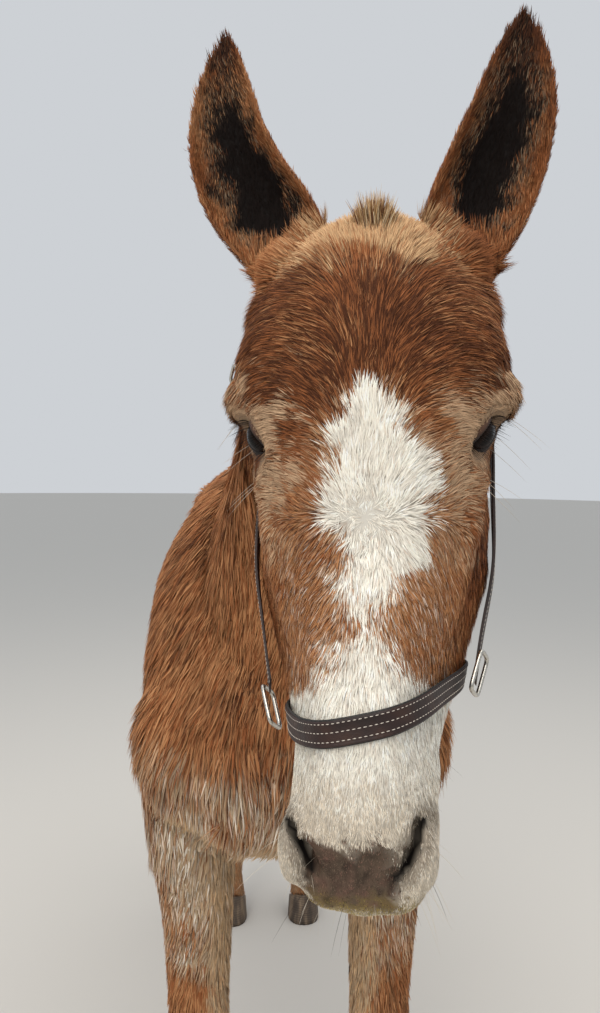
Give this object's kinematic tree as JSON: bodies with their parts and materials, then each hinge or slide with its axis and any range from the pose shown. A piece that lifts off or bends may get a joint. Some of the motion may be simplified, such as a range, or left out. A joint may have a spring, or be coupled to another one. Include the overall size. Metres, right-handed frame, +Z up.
{
  "type": "mule",
  "caption": "Life-size sorrel mule with a cream blaze and pale muzzle, standing square in a plain leather halter, its head turned slightly to its right",
  "frame": {"origin": "on the ground, under the middle of the whole animal's bounding box", "axes": "+Z up; the mule faces -Y, so +Y runs from nose to tail, the longest extent; +X is the mule's left side, the shortest extent"},
  "size_m": [0.5518, 2.004, 1.7863],
  "materials": {
    "sorrel_coat": "short winter coat over hide, sorrel with cream blaze and muzzle",
    "flaxen_hair": "coarse flaxen mane and tail hair",
    "hoof_horn": "dark unpainted hoof horn",
    "dark_eye": "wet, almost black brown eye",
    "brown_leather": "dark brown oiled halter leather with pale stitching",
    "steel": "plain halter rings, lightly worn"
  },
  "bodies": {
    "root": {"torso": "sorrel_coat", "neck": "sorrel_coat", "head": "sorrel_coat", "ear_left": "sorrel_coat", "ear_right": "sorrel_coat", "eye_left": "dark_eye", "eye_right": "dark_eye", "foreleg_left": "sorrel_coat", "foreleg_right": "sorrel_coat", "hind_leg_left": "sorrel_coat", "hind_leg_right": "sorrel_coat", "forehoof_left": "hoof_horn", "forehoof_right": "hoof_horn", "hind_hoof_left": "hoof_horn", "hind_hoof_right": "hoof_horn", "mane": "flaxen_hair", "forelock": "flaxen_hair", "tail": "flaxen_hair", "noseband": "brown_leather", "cheek_strap_left": "brown_leather", "cheek_strap_right": "brown_leather", "crown_strap": "brown_leather", "cheek_ring_left": "steel", "cheek_ring_right": "steel", "crown_ring_left": "steel", "crown_ring_right": "steel"}
  },
  "joints": []
}
